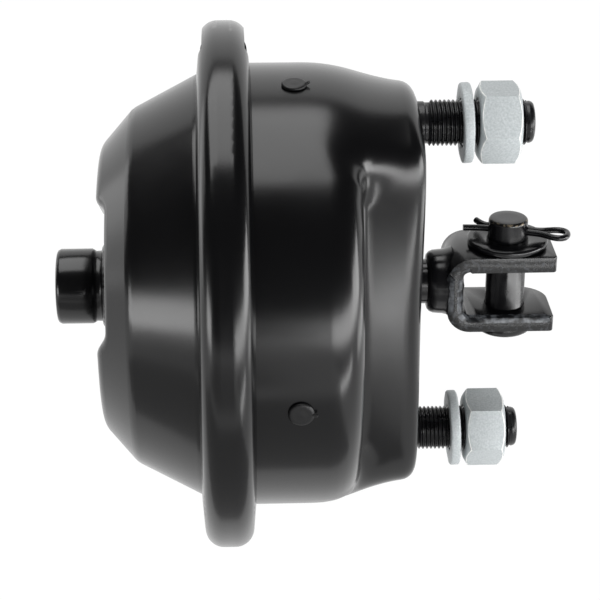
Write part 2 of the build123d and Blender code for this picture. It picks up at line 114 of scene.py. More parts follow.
def new_material(name, colour, roughness, **sockets):
    """A material with one Principled shader, as itself, its tree, the shader and the coordinates."""
    material = bpy.data.materials.new(name)
    material.use_nodes = True
    tree = material.node_tree
    shader = tree.nodes["Principled BSDF"]
    shader.inputs["Base Color"].default_value = linear(colour)
    shader.inputs["Roughness"].default_value = roughness
    for key, value in sockets.items():
        shader.inputs[key.replace("_", " ")].default_value = value
    place = add_node(tree, "ShaderNodeTexCoord").outputs["Object"]
    return material, tree, shader, place


print("mid grey #808080 is", round(linear("#808080")[0], 3), "in linear light")

# %% [markdown]
# ## Three patterns that the finishes share
# A real surface is never one colour, one gloss and quite flat. A relief raises it by noise,
# a drift lets a number such as the roughness wander, and patches let two colours show.
# Each is a few nodes that start from a noise in the object's own coordinates, so it sticks
# to the piece when the piece moves.

# %% Relief, drift and patches


def relief(tree, shader, place, blob_mm, detail, depth_mm):
    """Raise the surface by noise with blobs of blob_mm, depth_mm high, on top of any relief before it."""
    size = {"Scale": noise_scale(blob_mm), "Detail": detail}
    lumps = add_node(tree, "ShaderNodeTexNoise", size, {"Vector": place})
    links = {"Height": lumps.outputs["Fac"]}
    if shader.inputs["Normal"].is_linked:
        links["Normal"] = shader.inputs["Normal"].links[0].from_socket
    raised = add_node(tree, "ShaderNodeBump", {"Distance": depth_mm * MM}, links)
    tree.links.new(raised.outputs["Normal"], shader.inputs["Normal"])


def drift(tree, place, blob_mm, detail, low, high, least, most):
    """A number from least to most, as noise with blobs of blob_mm goes from low to high."""
    size = {"Scale": noise_scale(blob_mm), "Detail": detail}
    clouds = add_node(tree, "ShaderNodeTexNoise", size, {"Vector": place})
    span = {"From Min": low, "From Max": high, "To Min": least, "To Max": most}
    return add_node(tree, "ShaderNodeMapRange", span, {"Value": clouds.outputs["Fac"]}).outputs["Result"]


def patches(tree, shader, place, blob_mm, detail, low, high, dark, light):
    """Let the light colour show through the dark one in patches of blob_mm."""
    share = drift(tree, place, blob_mm, detail, low, high, 0.0, 1.0)
    colours = {6: linear(dark), 7: linear(light)}
    shade = add_node(tree, "ShaderNodeMix", colours, {0: share}, data_type="RGBA")
    tree.links.new(shade.outputs[2], shader.inputs["Base Color"])


print("a grain of 1 mm is a noise scale of", noise_scale(1.0))

# %% [markdown]
# ## Finish of the pressed housings
# Pressed steel, dip coated and then powder coated in black. The film flows out while it
# is baked, so it is smooth enough for a soft highlight, but it keeps a faint orange peel
# about a millimetre across and a finer grit. Paint has an IOR near 1.5, so it mirrors
# little when seen face on and almost everything at the edges. The gloss drifts a little
# over a few centimetres, because the film is never equally thick.

# %% Black coating
black_coat, tree, shader, place = new_material("black powder coated steel", "#060607", 0.24)
relief(tree, shader, place, blob_mm=1.2, detail=1.0, depth_mm=0.003)
relief(tree, shader, place, blob_mm=0.45, detail=1.0, depth_mm=0.004)
gloss = drift(tree, place, 14.0, 3.0, low=0.3, high=0.7, least=0.18, most=0.24)
tree.links.new(gloss, shader.inputs["Roughness"])
print(black_coat.name, "has", len(tree.nodes), "nodes")

# %% [markdown]
# ## Finish of the studs
# Rolled alloy steel, phosphated and oiled. The phosphate grows as fine crystals, so the
# surface is dark and a little duller than paint, and the oil makes it glossier in spots.

# %% Black studs
stud_black, tree, shader, place = new_material("black phosphated steel", "#0c0c0e", 0.28)
relief(tree, shader, place, blob_mm=0.3, detail=2.0, depth_mm=0.003)
oil = drift(tree, place, 1.6, 3.0, low=0.35, high=0.65, least=0.22, most=0.38)
tree.links.new(oil, shader.inputs["Roughness"])
print(stud_black.name, "has", len(tree.nodes), "nodes")

# %% [markdown]
# ## Finish of the nuts and washers
# Zinc flake coating: thin grey flakes in a binder, dipped and spun. It is matte and pale,
# with a fine speckle, drawn here at a third of a millimetre, a little coarse, so that it
# shows. Where spanners and other nuts have rubbed an edge, the flakes are pressed flat, and
# the edges get a brighter version: partly that wear, partly a painted highlight of their shine.

# %% Zinc flake
zinc_flake, tree, shader, place = new_material("zinc flake coating", "#aab0b2", 0.5, Metallic=0.1)
relief(tree, shader, place, blob_mm=0.32, detail=2.0, depth_mm=0.006)
patches(tree, shader, place, 0.32, 2.0, low=0.3, high=0.7, dark="#a0a6a8", light="#b9bebf")
print(zinc_flake.name, "has", len(tree.nodes), "nodes")

# %% Zinc flake, rubbed edges with a painted highlight
edge_highlight_name = "zinc flake coating, worn edge with painted highlight"
# Brighter zinc for the edges: rubbed wear, and a painted highlight of the light those edges catch.
zinc_worn_edge_with_painted_highlight, tree, shader, place = new_material(edge_highlight_name, "#dcdedb", 0.4, Metallic=0.2)
relief(tree, shader, place, blob_mm=0.5, detail=2.0, depth_mm=0.006)
patches(tree, shader, place, 1.1, 3.0, low=0.35, high=0.6, dark="#c6cac9", light="#efefeb")
print(zinc_worn_edge_with_painted_highlight.name, "has", len(tree.nodes), "nodes")

# %% [markdown]
# ## Lacquer of the clevis and its pin
# These are forged or sheared steel, dipped in a thick black lacquer that looks wet. It
# follows the rough skin below it, and its gloss changes from spot to spot. On the sheared
# sides it runs thin over streaks and pits, so grey steel shows, duller than the lacquer.

# %% Glossy lacquer
lacquer, tree, shader, place = new_material("glossy black lacquer on forged steel", "#0a0a0c", 0.2)
relief(tree, shader, place, blob_mm=1.1, detail=3.0, depth_mm=0.012)
shine = drift(tree, place, 3.0, 3.0, low=0.3, high=0.7, least=0.14, most=0.28)
tree.links.new(shine, shader.inputs["Roughness"])
print(lacquer.name, "has", len(tree.nodes), "nodes")

# %% Sheared sides: streaks that run across the sheet, and the bare steel between them
sheared, tree, shader, place = new_material("lacquer worn over sheared steel", "#101113", 0.3)
stretched = add_node(tree, "ShaderNodeMapping", {"Scale": (0.6, 1.0, 1.6)}, {"Vector": place})
relief(tree, shader, stretched.outputs["Vector"], blob_mm=0.9, detail=4.0, depth_mm=0.05)
patches(tree, shader, place, 0.8, 5.0, low=0.52, high=0.72, dark="#0b0c0d", light="#34363a")
dullness = drift(tree, place, 0.8, 5.0, low=0.52, high=0.72, least=0.26, most=0.42)
tree.links.new(dullness, shader.inputs["Roughness"])
print(sheared.name, "has", len(tree.nodes), "nodes")

# %% [markdown]
# ## Worn edges of the clevis and its pin
# The inner edge of the clevis was hammered off, which left small facets that were then
# rubbed light. The rim of the pin's end has chipped, and the bare steel there has turned a
# little brown. Bare steel is a metal, so both are partly metallic.

# %% Hammered inner edge
edge_name = "hammered steel edge with worn lacquer"
hammered, tree, shader, place = new_material(edge_name, "#2a2c2f", 0.3, Metallic=0.2)
relief(tree, shader, place, blob_mm=0.7, detail=3.0, depth_mm=0.08)
patches(tree, shader, place, 1.0, 4.0, low=0.42, high=0.66, dark="#131416", light="#5b5e62")
print(hammered.name, "has", len(tree.nodes), "nodes")

# %% Chipped rim of the pin
rim_worn, tree, shader, place = new_material("chipped pin edge", "#4c4234", 0.35, Metallic=0.6)
patches(tree, shader, place, 0.8, 3.0, low=0.46, high=0.56, dark="#141416", light="#6d6353")
print(rim_worn.name, "has", len(tree.nodes), "nodes")

# %% [markdown]
# ## Finishes of the rubber and the spring
# The plugs, the diaphragm and the rod's seal are moulded rubber: matte, with the fine
# texture of the mould. The spring inside is bare steel under oil, and a metal mirrors in
# its own grey, so it is fully metallic, with a roughness that drifts as the oil does.

# %% Moulded rubber
rubber_black, tree, shader, place = new_material("black moulded rubber", "#0c0c0d", 0.45)
relief(tree, shader, place, blob_mm=0.5, detail=2.0, depth_mm=0.008)
print(rubber_black.name, "has", len(tree.nodes), "nodes")

# %% Oiled spring steel
spring_steel, tree, shader, place = new_material("oiled spring steel", "#55565a", 0.35, Metallic=1.0)
oil = drift(tree, place, 2.0, 3.0, low=0.3, high=0.7, least=0.3, most=0.45)
tree.links.new(oil, shader.inputs["Roughness"])
print(spring_steel.name, "has", len(tree.nodes), "nodes")

# %% [markdown]
# ## Give each solid its finish
# The record names a material slot for each solid, so a table from slot to finish dresses
# them all. Their shape is left alone. Smooth shading is switched on, so that round faces
# don't show their facets.

# %% Finish of each solid
finish_of_slot = {
    "black_coated_steel": black_coat,
    "black_stud_steel": stud_black,
    "zinc_plated_steel": zinc_flake,
    "glossy_black_steel": lacquer,
    "black_rubber": rubber_black,
    "spring_steel": spring_steel,
}
slot_of_node = {s["node"]: s["material_slot"] for s in frame["record"]["subparts"]}
for name, solid in nodes.items():
    solid.data.materials.clear()
    solid.data.materials.append(finish_of_slot[slot_of_node[name]])
    for polygon in solid.data.polygons:
        polygon.use_smooth = True
print("finished solids:", len(nodes))

# %% [markdown]
# ## Helpers for turned parts
# Nearly every small part here was turned on a lathe. In Blender that is one outline spun
# round its axis: a few corners, joined by edges, and the spin operator. A full spin meets
# its own start, so use_merge closes it, and the points that lie on the axis are merged.
# Another helper joins the forms of a part into one object, gives it its materials, and
# says which body it rides on and which solids it stands for.

# %% Turned parts


def turned(outline, steps=64, closed=False):
    """Spin an outline of (x, radius) points, in millimetres, round the X axis."""
    form = bmesh.new()
    corners = [form.verts.new((x * MM, 0, r * MM)) for x, r in outline]
    edges = [form.edges.new(pair) for pair in zip(corners, corners[1:])]
    if closed:
        edges.append(form.edges.new((corners[-1], corners[0])))
    bmesh.ops.spin(form, geom=corners + edges, axis=(1, 0, 0), angle=2 * pi, steps=steps, use_merge=True)
    bmesh.ops.remove_doubles(form, verts=form.verts[:], dist=0.001 * MM)
    bmesh.ops.recalc_face_normals(form, faces=form.faces[:])
    return form


sample = turned([(0, 0), (0, 10), (3, 10), (3, 0)])
print("a plain disc has", len(sample.faces), "faces")
sample.free()

# %% Forms joined into a piece


def piece(name, forms, body, materials, stands_for=(), place=Matrix.Identity(4), crease=35):
    """Join the forms into one object in its place, riding on a body and standing for CAD nodes."""
    whole = bmesh.new()
    for form in forms:
        part = bpy.data.meshes.new("part")
        form.to_mesh(part)
        form.free()
        whole.from_mesh(part)
        bpy.data.meshes.remove(part)
    bmesh.ops.transform(whole, matrix=place, verts=whole.verts[:])
    for face in whole.faces:
        face.smooth = True
    for edge in whole.edges:
        edge.smooth = not edge.is_manifold or edge.calc_face_angle(0) < radians(crease)
    mesh = bpy.data.meshes.new(name)
    whole.to_mesh(mesh)
    whole.free()
    made = bpy.data.objects.new(name, mesh)
    bpy.context.scene.collection.objects.link(made)
    for material in materials:
        mesh.materials.append(material)
    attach(made, body)
    if stands_for:
        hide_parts(*stands_for)
    mesh.calc_loop_triangles()
    print(name, len(mesh.loop_triangles), "triangles")
    return made


# %% [markdown]
# ## The drawn cup
# The cup is deep drawn from one sheet, so its stud pad grows out of the wall in one soft
# sweep at the top and bottom, and in a deep step along its two flats. A lathe part whose
# outline changes as it turns gives both. A strip of points is spun to a tube, and each
# point is then laid on the side view that belongs to its angle. The sheet gets its
# thickness last.

# %% Side view with rounded corners


def rounded(corners, reaches, steps=7):
    """Points of a side view, with each inner corner drawn round from so far before it to so far after."""
    path = [Vector(corners[0])]
    for a, b, c, reach in zip(corners, corners[1:], corners[2:], reaches):
        before, corner, after = Vector(a), Vector(b), Vector(c)
        start = corner.lerp(before, min(reach / (before - corner).length, 0.48))
        end = corner.lerp(after, min(reach / (after - corner).length, 0.48))
        for i in range(steps + 1):
            share = i / steps
            path.append(start.lerp(corner, share).lerp(corner.lerp(end, share), share))
    return path + [Vector(corners[-1])]


# %% Side view of the cup at each angle
CUP_SHEET = 3
CUP_RADIUS, PAD_RADIUS, PAD_HALF = 78.525, 73.925, 37.5
RIM_X, RIM_RADIUS, ROD_HOLE_RADIUS = -61.6, 88.0, 14.2
WALL_START_X, STEP_X = -60.67, -22
PAD_LEAN = tan(radians(7))
SQUARENESS = 12
SWEEP_FADE = 16


def cup_side_view(angle):
    """The outside of the cup at an angle round its axis, from the rim to the middle hole, as (x, radius)."""
    flat = abs(cos(angle)) / PAD_HALF
    reach = (flat**SQUARENESS + (1 / PAD_RADIUS) ** SQUARENESS) ** (-1 / SQUARENESS)
    sweep = max(0.0, 1 - (PAD_RADIUS - reach) / SWEEP_FADE)
    root = STEP_X + 11 * sweep
    corners = [
        (RIM_X, RIM_RADIUS),
        (WALL_START_X, CUP_RADIUS),
        (STEP_X - 9 * sweep, CUP_RADIUS),
        (root, reach - (root - STEP_X) * PAD_LEAN),
        (0, reach + STEP_X * PAD_LEAN),
        (0, ROD_HOLE_RADIUS),
    ]
    return rounded(corners, [3.0, 12 - 3 * sweep, 5 + 4 * sweep, 7.0])


print("points in the cup's side view:", len(cup_side_view(0.0)))

# %% Drawn cup
points = len(cup_side_view(0.0))
cup = turned([(number, 1.0) for number in range(points)], 360)
for corner in cup.verts:
    angle = atan2(corner.co.z, corner.co.y)
    x, radius = cup_side_view(angle)[round(corner.co.x / MM)]
    corner.co = Vector((x, radius * cos(angle), radius * sin(angle))) * MM
bmesh.ops.recalc_face_normals(cup, faces=cup.faces[:])
middle_face = min(cup.faces, key=lambda f: (f.calc_center_median() - Vector((0, 0.04, 0))).length)
if middle_face.normal.x < 0:
    bmesh.ops.reverse_faces(cup, faces=cup.faces[:])
bmesh.ops.solidify(cup, geom=cup.faces[:], thickness=CUP_SHEET * MM)
piece(
    "drawn_cup_with_stud_pad",
    [cup],
    "chamber",
    [black_coat],
    ["non_pressure_housing"],
    crease=50,
)

# %% [markdown]
# ## Threads
# A thread could be a picture of lines on a smooth rod, but its crests show in the
# outline. So it is a small wedge that is spun many times round while it moves along, which
# is just how a die rolls it. The wedge sinks into the core at both ends, as a real thread
# runs out.

# %% Thread helper


def thread(start, end, root, crest, pitch, steps=40):
    """One thread ridge along X from start to end, in millimetres. It fades out at both ends."""
    form = bmesh.new()
    sunk = root - 0.25 * (crest - root)
    wedge = [(-0.45, sunk), (-0.45, root), (-0.08, crest), (0.08, crest), (0.45, root), (0.45, sunk)]
    corners = [form.verts.new(((start + along * pitch) * MM, 0, r * MM)) for along, r in wedge]
    edges = [form.edges.new(pair) for pair in zip(corners, corners[1:] + corners[:1])]
    count = round((end - start) / pitch * steps)
    step = Vector((pitch * MM / steps, 0, 0))
    turn = 2 * pi * count / steps
    bmesh.ops.spin(form, geom=corners + edges, axis=(1, 0, 0), dvec=step, angle=turn, steps=count)
    bmesh.ops.holes_fill(form, edges=[e for e in form.edges if e.is_boundary], sides=0)
    for corner in form.verts:
        along = corner.co.x / MM
        fade = max(0.02, min(1.0, (along - start) / pitch + 0.5, (end - along) / pitch + 0.5))
        radius = hypot(corner.co.y, corner.co.z) / MM
        kept = (sunk + (radius - sunk) * fade) / radius
        corner.co.y *= kept
        corner.co.z *= kept
    bmesh.ops.recalc_face_normals(form, faces=form.faces[:])
    return form


PITCH = 1.5
ROOT_RADIUS, CREST_RADIUS = 7.1, 7.98
sample = thread(0, 10 * PITCH, ROOT_RADIUS, CREST_RADIUS, PITCH)
print("ten turns of thread have", len(sample.faces), "faces")
sample.free()

# %% [markdown]
# ## Studs
# Each M16 stud is pressed into the housing from behind, with a D-shaped head that the pad
# wall keeps from turning. Outside there is a short plain shank and then a rolled thread
# with a pitch of 1.5 mm. The thread is the ridge from the helper above, laid on a core as
# thick as the thread's root, and the last 2 mm are turned down to a rounded tip.

# %% Studs
STUD_Z = 60.325
STUD_TIP = 39.8
HEAD_RADIUS, HEAD_START, HEAD_END = 11.5, -13, -8
head_outline = [
    (HEAD_START, 0),
    (HEAD_START, HEAD_RADIUS - 0.6),
    (HEAD_START + 0.6, HEAD_RADIUS),
    (HEAD_END, HEAD_RADIUS),
    (HEAD_END, 0),
]
shank_outline = [(HEAD_END - 0.5, 0), (HEAD_END - 0.5, 7.5), (1.6, 7.5), (2.1, ROOT_RADIUS)]
tip_before_end = [(2.1, 7.1), (1.8, 7.3), (1.2, 7.2), (0.6, 6.95), (0.2, 6.5), (0, 5.9), (0, 0)]
core_outline = shank_outline + [(STUD_TIP - before, radius) for before, radius in tip_before_end]
for name, side in (("upper", 1), ("lower", -1)):
    low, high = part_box(name + "_stud")
    reach = max(abs(low.z), abs(high.z)) - STUD_Z * MM
    head = turned(head_outline)
    whole = head.verts[:] + head.edges[:] + head.faces[:]
    flat = Vector((0, 0, side * reach))
    bmesh.ops.bisect_plane(head, geom=whole, plane_co=flat, plane_no=flat, clear_outer=True)
    bmesh.ops.holes_fill(head, edges=[e for e in head.edges if e.is_boundary], sides=0)
    core = turned(core_outline)
    ridge = thread(3.1, STUD_TIP - 2.3, ROOT_RADIUS, CREST_RADIUS, PITCH)
    piece(
        name + "_threaded_stud",
        [head, core, ridge],
        "chamber",
        [stud_black],
        [name + "_stud"],
        Matrix.Translation((0, 0, side * STUD_Z * MM)),
    )

# %% [markdown]
# ## Nuts
# A nut blank is turned with a coned corner at both ends and then gets its six flats, and
# where a cone meets a flat the edge is a curve. Here the outline is spun too, and then
# every corner of the mesh that stands outside the hexagon is drawn back onto it, down the
# slope of the cone. No real edge is perfectly sharp, so the edges are beveled and given
# the brighter material: rubbed wear plus a painted highlight, drawn as a thin bright line.

# %% Softened edges


def soften(form, width, over=30, material=-1, segments=2, only=None):
    """Round every edge that turns by more than so many degrees."""
    sharp = [e for e in form.edges if e.is_manifold and e.calc_face_angle(0) > radians(over)]
    if only:
        sharp = [e for e in sharp if only(e)]
    bmesh.ops.bevel(
        form,
        geom=sharp,
        offset=width * MM,
        affect="EDGES",
        segments=segments,
        profile=0.5,
        material=material,
    )


# %% Hexagon helper


def hex_form(flats, height, bore, corner_start, edge=0.22, sink=0.6):
    """A nut or bolt head along X from 0, with six flats and both ends coned at 30 degrees."""
    half = flats / 2
    point = half / cos(pi / 6)
    slope = tan(pi / 6)
    drop = (point - corner_start) * slope
    ends = [(0, corner_start), (drop, point), (height - drop, point), (height, corner_start)]
    if bore:
        outline = [(sink, bore), (0, bore + sink)] + ends + [(height, bore + sink), (height - sink, bore)]
        form = turned(outline, 72, closed=True)
    else:
        form = turned([(0, 0)] + ends + [(height, 0)], 72)
    for corner in form.verts:
        radius = hypot(corner.co.y, corner.co.z) / MM
        if radius > corner_start + 0.01:
            angle = atan2(corner.co.y, corner.co.z) % (pi / 3) - pi / 6
            on_flat = half / cos(angle)
            back = (on_flat - corner_start) * slope
            corner.co.x = (back if corner.co.x < height * MM / 2 else height - back) * MM
            corner.co.y *= on_flat / radius
            corner.co.z *= on_flat / radius

    def outside(e):
        return min(hypot(v.co.y, v.co.z) for v in e.verts) > (corner_start + 0.05) * MM

    # The beveled outer edges get slot 1, the brighter zinc: rubbed wear plus a painted edge highlight.
    soften(form, edge, 22, material=1, only=outside)
    bmesh.ops.recalc_face_normals(form, faces=form.faces[:])
    return form


# %% Mounting nuts: each stopped at its own angle when it was run up
NUT_X = 20.4
for name, side, turn in (("upper", 1, 3.0), ("lower", -1, 7.5)):
    nut = hex_form(25.0, 14.4, 8.05, 11.7)
    turned_to = Matrix.Rotation(radians(turn - 30), 4, "X")
    piece(
        name + "_hex_nut",
        [nut],
        "chamber",
        [zinc_flake, zinc_worn_edge_with_painted_highlight],
        [name + "_nut"],
        Matrix.Translation((NUT_X * MM, 0, side * STUD_Z * MM)) @ turned_to,
    )

# %% [markdown]
# ## Washers
# A washer is punched from strip, so one edge is drawn round where the punch went in, and
# the rim is a little uneven. The outline has that round edge, and a weak noise pushes the
# rim in and out. It hangs loose on the stud, so it leans by two degrees.

# %% Washers


def roughen(form, depth, size, only=None):
    """Push each corner a little along its normal, by noise with blobs of size millimetres."""
    form.normal_update()
    for corner in form.verts:
        if only is None or only(corner):
            corner.co += corner.normal * noise.noise(corner.co / (size * MM)) * depth * MM


WASHER_X, WASHER_RADIUS = 16.3, 13.93
washer_outline = [
    (-1.6, 9.2),
    (-1.6, 13.4),
    (-1.4, 13.75),
    (-1.0, WASHER_RADIUS),
    (1.1, WASHER_RADIUS),
    (1.6, 13.75),
    (1.9, 13.2),
    (2.0, 12.6),
    (2.0, 8.9),
    (1.7, 8.6),
    (-1.3, 8.6),
]
for name, side in (("upper", 1), ("lower", -1)):
    ring = turned(washer_outline, 96, closed=True)
    roughen(ring, 0.12, 5.0, lambda v: hypot(v.co.y, v.co.z) > 12 * MM)
    lean = Matrix.Rotation(radians(-2), 4, "Y")
    piece(
        name + "_plain_washer",
        [ring],
        "chamber",
        [zinc_flake],
        [name + "_washer"],
        Matrix.Translation((WASHER_X * MM, 0, (side * STUD_Z - 0.1) * MM)) @ lean,
        60,
    )

# %% [markdown]
# ## Clamp bolt
# The ring is drawn shut by an M10 bolt through its two lugs. The bolt's axis runs square
# to the lugs, and the thread shows beyond the nut. Both are built along X and then moved
# to the lugs by one matrix, whose columns are the bolt's own three directions.

# %% Place of the clamp bolt
LUG_ANGLE, LUG_SIDE, RING_X, RING_RADIUS = radians(-15.0), 11.0, -67.0, 93.425
BOLT_BEYOND_RING = 11.5
outward = Vector((0, cos(LUG_ANGLE), sin(LUG_ANGLE)))
along = Vector((0, -sin(LUG_ANGLE), cos(LUG_ANGLE)))
bolt_frame = Matrix((along, outward, along.cross(outward))).transposed().to_4x4()
bolt_frame.translation = Vector((RING_X * MM, 0, 0)) + (RING_RADIUS + BOLT_BEYOND_RING) * MM * outward
print("clamp bolt at", [round(c / MM, 1) for c in bolt_frame.translation], "mm")

# %% Clamp bolt and nut
BOLT_FLATS, BOLT_HEAD, BOLT_NUT, BOLT_PITCH = 16.0, 6.4, 8.0, 1.25
BOLT_ROOT, BOLT_CREST = 4.4, 4.98
head = hex_form(BOLT_FLATS, BOLT_HEAD, 0, 7.5)
bmesh.ops.translate(head, vec=(LUG_SIDE * MM, 0, 0), verts=head.verts[:])
shank = turned([
    (-LUG_SIDE - 12.0, 0),
    (-LUG_SIDE - 12.0, 3.9),
    (-LUG_SIDE - 11.4, BOLT_ROOT),
    (LUG_SIDE - 6, BOLT_ROOT),
    (LUG_SIDE - 5.5, BOLT_CREST),
    (LUG_SIDE + 0.2, BOLT_CREST),
    (LUG_SIDE + 0.2, 0),
])
ridge = thread(-LUG_SIDE - 11.0, LUG_SIDE - 6.5, BOLT_ROOT, BOLT_CREST, BOLT_PITCH)
both = [zinc_flake, zinc_worn_edge_with_painted_highlight]
piece(
    "clamp_hex_bolt", [head, shank, ridge], "chamber", both, ["clamp_bolt"], bolt_frame
)
nut = hex_form(BOLT_FLATS, BOLT_NUT, 5.02, 7.5)
bmesh.ops.translate(nut, vec=((-LUG_SIDE - BOLT_NUT) * MM, 0, 0), verts=nut.verts[:])
piece("clamp_hex_nut", [nut], "chamber", both, ["clamp_nut"], bolt_frame)

# %% [markdown]
# ## Air port
# A turned steel boss welded into the dome's end. It is a lathe part with a rounded mouth
# and a groove before the weld. The inside thread is the same ridge turned inwards, and
# the weld bead is a ring that swells and sinks a little, as the welder's hand moved on.

# %% Air port boss and its thread
PORT_X, RELIEF_X = -127.0, -107.2
PORT_BORE, PORT_RADIUS = 8.02, 13.38
mouth = [
    (PORT_X + 1.4, PORT_BORE),
    (PORT_X, 9.3),
    (PORT_X, 12.2),
    (PORT_X + 0.4, 12.9),
    (PORT_X + 1.4, PORT_RADIUS),
]
groove = [(-114.6, PORT_RADIUS), (-113.9, 13.0), (-113.2, 12.5), (-111.4, 12.6), (-110.6, 13.2)]
inside = [(RELIEF_X + 2.9, 13.2), (RELIEF_X + 2.9, 5.0), (PORT_X + 14.6, 5.0), (PORT_X + 14.0, PORT_BORE)]
boss = turned(mouth + groove + inside, 96, closed=True)
ridge = thread(PORT_X + 1.9, PORT_X + 13.2, PORT_BORE, 7.2, PITCH)
print("boss:", len(boss.faces), "faces")

# %% Weld bead round the boss
bead_outline = [
    (-111.2, 12.8),
    (-110.9, 14.0),
    (-110.2, 15.0),
    (-109.2, 15.8),
    (-107.8, 16.5),
    (-106.6, 16.6),
    (-106.6, 13.0),
]
bead = turned(bead_outline, 144, closed=True)
for corner in bead.verts:
    radius = hypot(corner.co.y, corner.co.z) / MM
    turn = atan2(corner.co.z, corner.co.y)
    if radius > PORT_RADIUS + 0.12:
        swell = 1 + 0.006 * sin(34 * turn + 1.2 * sin(3 * turn)) + 0.008 * sin(2 * turn)
        corner.co.y *= swell
        corner.co.z *= swell
forms = [boss, ridge, bead]
piece("threaded_air_port", forms, "chamber", [black_coat], ["air_port"], crease=50)

# %% [markdown]
# ## Vent plugs
# Four rubber plugs close the vent holes. Each is a small mushroom: a head with a rolled
# lip, and beside it the little tail where it was cut from its sprue. The four are spread
# evenly round the cup, each turned to face straight out.

# %% Vent plugs
PLUG_X, TAIL_LEAN = -43.3, radians(62)
cap_outline = [
    (-2.2, 0),
    (-2.2, 2.6),
    (0.0, 3.0),
    (0.05, 4.1),
    (0.3, 4.3),
    (0.75, 4.28),
    (1.1, 3.9),
    (1.25, 3.3),
    (1.15, 2.6),
    (1.3, 1.2),
    (1.35, 0),
]
tail_outline = [(-1.2, 0), (-1.2, 0.75), (1.4, 0.62), (1.9, 0.35), (1.95, 0)]
back = Vector((-1, 0, 0))
for number, angle in enumerate((7.5, 97.5, 187.5, 277.5), 1):
    cap = turned(cap_outline, 40)
    tail = turned(tail_outline, 16)
    bmesh.ops.rotate(tail, cent=(0, 0, 0), matrix=Matrix.Rotation(TAIL_LEAN, 3, "Y"), verts=tail.verts[:])
    bmesh.ops.translate(tail, vec=(0.8 * MM, 0, -3.6 * MM), verts=tail.verts[:])
    bmesh.ops.scale(tail, vec=(0.9, 1, 1), verts=tail.verts[:])
    outward = Vector((0, cos(radians(angle)), sin(radians(angle))))
    plug_frame = Matrix((outward, outward.cross(back), back)).transposed().to_4x4()
    plug_frame.translation = Vector((PLUG_X * MM, 0, 0)) + CUP_RADIUS * MM * outward
    piece(
        f"rubber_vent_plug_{number}",
        [cap, tail],
        "chamber",
        [rubber_black],
        [f"vent_plug_{number}"],
        plug_frame,
        50,
    )

# %% [markdown]
# ## Clevis
# The clevis is a strap sheared from plate and bent to a U. In Blender its side view is one
# flat face whose corners are beveled round, and extruding that face across gives the
# width. A Boolean modifier bores it for the pin. The near inner edge was hammered off, so
# it is subdivided, beveled wide and roughened into uneven facets, with a lighter worn
# material. The neck that is welded to the pushrod is turned.

# %% Clevis strap: side view with round bends
WEB_X, EAR_END = 11.0, 49.3
EAR_Z, GAP, HALF_WIDTH, SHEET = 14.4, 8.6, 13.0, 5.8
OUTER_BEND, INNER_BEND = 8.55, 2.75
strap = bmesh.new()
side_view = [
    (WEB_X, -EAR_Z),
    (EAR_END, -EAR_Z),
    (EAR_END, -GAP),
    (WEB_X + SHEET, -GAP),
    (WEB_X + SHEET, GAP),
    (EAR_END, GAP),
    (EAR_END, EAR_Z),
    (WEB_X, EAR_Z),
]
corners = [strap.verts.new((x * MM, -HALF_WIDTH * MM, z * MM)) for x, z in side_view]
strap.faces.new(corners)
for chosen, radius, segments in ((corners[:1] + corners[7:], OUTER_BEND, 14), (corners[3:5], INNER_BEND, 8)):
    bmesh.ops.bevel(
        strap,
        geom=chosen,
        offset=radius * MM,
        affect="VERTICES",
        segments=segments,
        profile=0.5,
        material=-1,
    )
print("side view:", len(strap.verts), "points")

# %% Clevis strap: extruded across, with the ears' ends cut round
grown = bmesh.ops.extrude_face_region(strap, geom=strap.faces[:])
far_side = [v for v in grown["geom"] if isinstance(v, bmesh.types.BMVert)]
bmesh.ops.translate(strap, vec=(0, 2 * HALF_WIDTH * MM, 0), verts=far_side)
bmesh.ops.recalc_face_normals(strap, faces=strap.faces[:])


def at_ear_corner(edge, side):
    """Whether an edge stands at the end of an ear, on one side of the strap."""
    return all(
        v.co.x > (EAR_END - 0.01) * MM and v.co.y * side > (HALF_WIDTH - 0.01) * MM for v in edge.verts
    )


for side, radius in ((-1, 1.5), (1, 10.0)):
    bmesh.ops.bevel(
        strap,
        geom=[e for e in strap.edges if at_ear_corner(e, side)],
        offset=radius * MM,
        affect="EDGES",
        segments=8,
        profile=0.5,
        material=-1,
    )
print("clevis strap:", len(strap.faces), "faces")

# %% Bore the ears for the pin


def bored(form, tool_form):
    """Take the tool's shape out of the form with a Boolean modifier."""
    made = []
    for shape in (form, tool_form):
        mesh = bpy.data.meshes.new("blank")
        shape.to_mesh(mesh)
        shape.free()
        made.append(bpy.data.objects.new("blank", mesh))
        bpy.context.scene.collection.objects.link(made[-1])
    modifier = made[0].modifiers.new("bore", "BOOLEAN")
    modifier.operation = "DIFFERENCE"
    modifier.solver = "EXACT"
    modifier.object = made[1]
    result = bmesh.new()
    result.from_object(made[0], bpy.context.evaluated_depsgraph_get())
    for blank in made:
        bpy.data.meshes.remove(blank.data)
    return result


PIN_X, PIN_HOLE, DRILL_REACH = 33.2, 7.08, 20
UPRIGHT = Matrix.Translation((PIN_X * MM, 0, 0)) @ Matrix.Rotation(radians(-90), 4, "Y")
drill = turned([(-DRILL_REACH, 0), (-DRILL_REACH, PIN_HOLE), (DRILL_REACH, PIN_HOLE), (DRILL_REACH, 0)], 64)
bmesh.ops.transform(drill, matrix=UPRIGHT, verts=drill.verts[:])
strap = bored(strap, drill)
print("bored strap:", len(strap.faces), "faces")

# %% Hammer the inner edge of the near side
FACET, CHAMFER = 1.5, 2.3


def on_rim(edge):
    """Whether an edge runs on the near side, down the inside of the web or along the lower ear."""
    return all(
        abs(v.co.y + HALF_WIDTH * MM) < 1e-6
        and abs(v.co.z) < (GAP + 0.01) * MM
        and v.co.x < (EAR_END - 1.4) * MM
        and (v.co.z < 0 or v.co.x < (WEB_X + SHEET + INNER_BEND + 0.05) * MM)
        for v in edge.verts
    )


